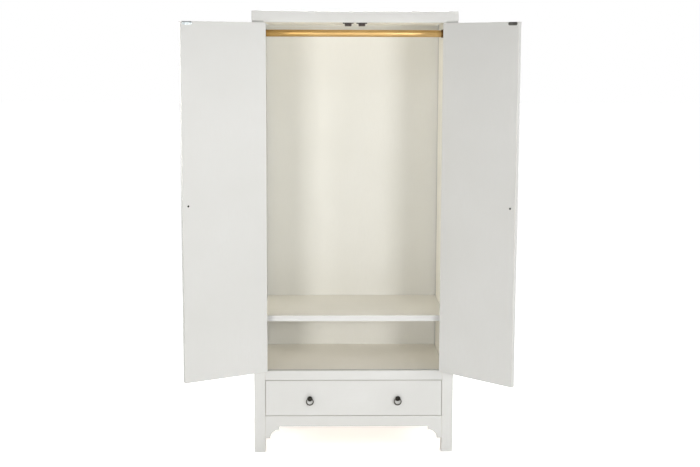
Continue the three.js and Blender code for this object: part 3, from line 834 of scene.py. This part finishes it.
LEAF_HALF = 40 * MM
LEAF_THICK = 2.1 * MM
LEAF_OFF = 0.5 * MM  # to the side of the pin's axis
LEAF_BACK = {"frame": 20 * MM, "door": 18 * MM}  # from front edge to back edge
LEAF_ROUND = 0.4 * MM
BARREL_RADIUS = 4.5 * MM
KNUCKLE_GAP = 0.3 * MM  # from the leaf's middle to each half of the barrel
PIN_AHEAD = 5 * MM  # of the leaf's front edge
LEAF_SCREWS = (-26 * MM, 0.0, 26 * MM)
LEAF_SCREW_BACK = 0.55  # of the way to the leaf's back edge


def knuckle(start, end, tip):
    """Half of the barrel: a turned tube with rounded ends, and a small ball on its free end."""
    soft = 0.7 * MM
    profile = [[0, start]]
    profile += arc((BARREL_RADIUS - soft, start + soft), soft, -90, 0, 3).tolist()
    profile += arc((BARREL_RADIUS - soft, end - soft), soft, 0, 90, 3).tolist()
    profile += [[2.6 * MM, end], [2.2 * MM, end + 0.6 * MM]]
    profile += arc((0, end + 2.9 * MM), 3.0 * MM, -45, 90, 8).tolist()
    profile = np.array(profile)
    if tip < 0:
        profile[:, 1] = start + end - profile[:, 1]
    return turn(profile, 40)


def hinge_leaves():
    """Each leaf is a thin rounded plate let into the wood, half of the barrel and three screws."""
    for side, s in SIDES:
        pin = door_angle(side)[1]
        for height in HINGE_PLACES:
            box_low, box_high = corners(f"hinge_frame_{side}_{height}")
            z = (box_low[2] + box_high[2]) / 2
            for part in ("frame", "door"):
                t = s if part == "frame" else -s
                near, far = sorted([pin[0] + t * LEAF_OFF, pin[0] + t * (LEAF_OFF + LEAF_THICK)])
                back = pin[1] + PIN_AHEAD + LEAF_BACK[part]
                plate = board(
                    [near, pin[1] + PIN_AHEAD - LEAF_ROUND, z - LEAF_HALF],
                    [far, back, z + LEAF_HALF],
                    LEAF_ROUND,
                )
                tip = 1 if part == "door" else -1
                half = [z + KNUCKLE_GAP, z + LEAF_HALF]
                if tip < 0:
                    half = [z - LEAF_HALF, z - KNUCKLE_GAP]
                tongue_low = [near, pin[1] - 1 * MM, half[0]]
                tongue_high = [far, pin[1] + PIN_AHEAD + 1 * MM, half[1]]
                tongue = board(tongue_low, tongue_high, LEAF_ROUND)
                barrel = knuckle(half[0], half[1], tip)
                barrel = place(barrel, [pin[0], pin[1], 0], (1, 0, 0), (0, 1, 0), UP)
                grids = plate + tongue + [(barrel, LOOP)]
                for offset in LEAF_SCREWS:
                    face = pin[0] + t * LEAF_OFF
                    spot = [face, pin[1] + PIN_AHEAD + LEAF_SCREW_BACK * LEAF_BACK[part], z + offset]
                    head = screw_head(3.2 * MM, 0.45 * MM, angle=40 * offset + 0.4)
                    grids.append((place(head, spot, (0, t, 0), UP, (-t, 0, 0)), LOOP))
                if part == "door":
                    grids = [(swing(points, side), kind) for points, kind in grids]
                node_name = f"hinge_{part}_{side}_{height}"
                body = "carcass" if part == "frame" else f"{side}_door"
                made = skin(f"leaf_{part}_{side}_{height}", grids, ZINC)
                dress(made, body, "hinge_steel", node_name)


# ---------------------------------------------------------------------------------------------
# Ring pulls
# ---------------------------------------------------------------------------------------------

EYE_OUT = 7.6 * MM  # from the wood to the stud's cross hole
RING_MIDDLE = 15.4 * MM  # radius of the ring's middle line
RING_WIRE = 2.4 * MM  # radius of the wire
RING_SWELL = 0.1
RING_DROP = 15.2 * MM  # from the stud's cross hole to the ring's centre
BOLT_HEAD = 4.5 * MM  # radius
BOLT_HIGH = 2.6 * MM
BOLT_GAP = 0.2 * MM


def ring_pull(tag, body, ring_body, joint):
    """A domed stud turned on the out axis, its ring, and the head of the bolt behind the wood.

    The ring is a circle of wire: its middle line is a circle, and the wire is a little thicker
    at the bottom, where the finger pulls.
    """
    eye, across = np.array(joint["pos_m"]), np.array(joint["axis"], float)
    across /= np.linalg.norm(across)
    out = np.cross(UP, across)
    foot = eye - EYE_OUT * out
    profile = [[0, 0.2], [7.7, 0.2], [8, 0.5], [8, 1.3], [7.6, 1.8], [6.7, 2.3], [6.15, 3.1], [5.9, 4.2]]
    profile += [[5.8, 7.0], [5.8, 9.5], [6.0, 11.0], [6.6, 11.9], [7.8, 12.3], [10.6, 12.5]]
    profile += [[11.4, 12.7], [11.85, 13.1], [12.0, 13.7], [11.9, 14.5]]
    dome = [[11.55 * math.cos(a), 14.9 + 6.0 * math.sin(a)] for a in np.radians(np.linspace(8, 90, 14))]
    profile = np.array(profile + dome) * MM
    stud = place(turn(profile, 64), foot, across, UP, out)
    made = skin(f"stud_{tag}", [(stud, LOOP)], IRON)
    dress(made, body, "black_iron", f"pull_stud_{tag}")

    around = 2 * np.pi * np.arange(72)[:, None] / 72
    wire = 2 * np.pi * np.arange(20)[None, :] / 20
    thick = RING_WIRE * (1 - RING_SWELL * np.cos(around)) * np.ones_like(wire)
    reach = RING_MIDDLE + thick * np.cos(wire)
    points = np.stack([reach * np.sin(around), reach * np.cos(around), thick * np.sin(wire)], -1)
    points = np.concatenate([points, points[:1]])
    ring = place(points, eye - RING_DROP * UP, across, UP, out)
    made = skin(f"ring_{tag}", [(ring, LOOP)], IRON_RING)
    dress(made, ring_body, "black_iron", f"pull_ring_{tag}")

    inside = foot - (DOOR_THICK + BOLT_GAP) * out
    head = place(screw_head(BOLT_HEAD, BOLT_HIGH, 1.1 * MM, 1.2 * MM), inside, across, UP, -out)
    made = skin(f"bolt_{tag}", [(head, LOOP)], IRON)
    dress(made, body, "black_iron", f"pull_screw_{tag}")


def pulls():
    """The two pulls on the doors and the two on the drawer."""
    for side, _ in SIDES:
        joint = JOINTS[f"{side}_door_ring_swing"]
        ring_pull(f"door_{side}", f"{side}_door", f"{side}_door_ring", joint)
        joint = JOINTS[f"drawer_{side}_ring_swing"]
        ring_pull(f"drawer_{side}", "drawer_box", f"drawer_{side}_ring", joint)


def studio_floor():
    """One wide sheet under the feet."""
    reach = np.array([-40.0, 0.0, 40.0])
    x, y = np.meshgrid(reach, reach, indexing="ij")
    made = skin("floor", [(np.stack([x, y, 0 * x], -1), SHEET)], opal_floor())


boards()
cornice()
hanging_rail()
magnet_catches()
strike_plates()
hinge_leaves()
pulls()
studio_floor()
add_camera()
add_sky()
add_softboxes()
add_top_light()
bpy.context.scene.view_settings.view_transform = "Standard"
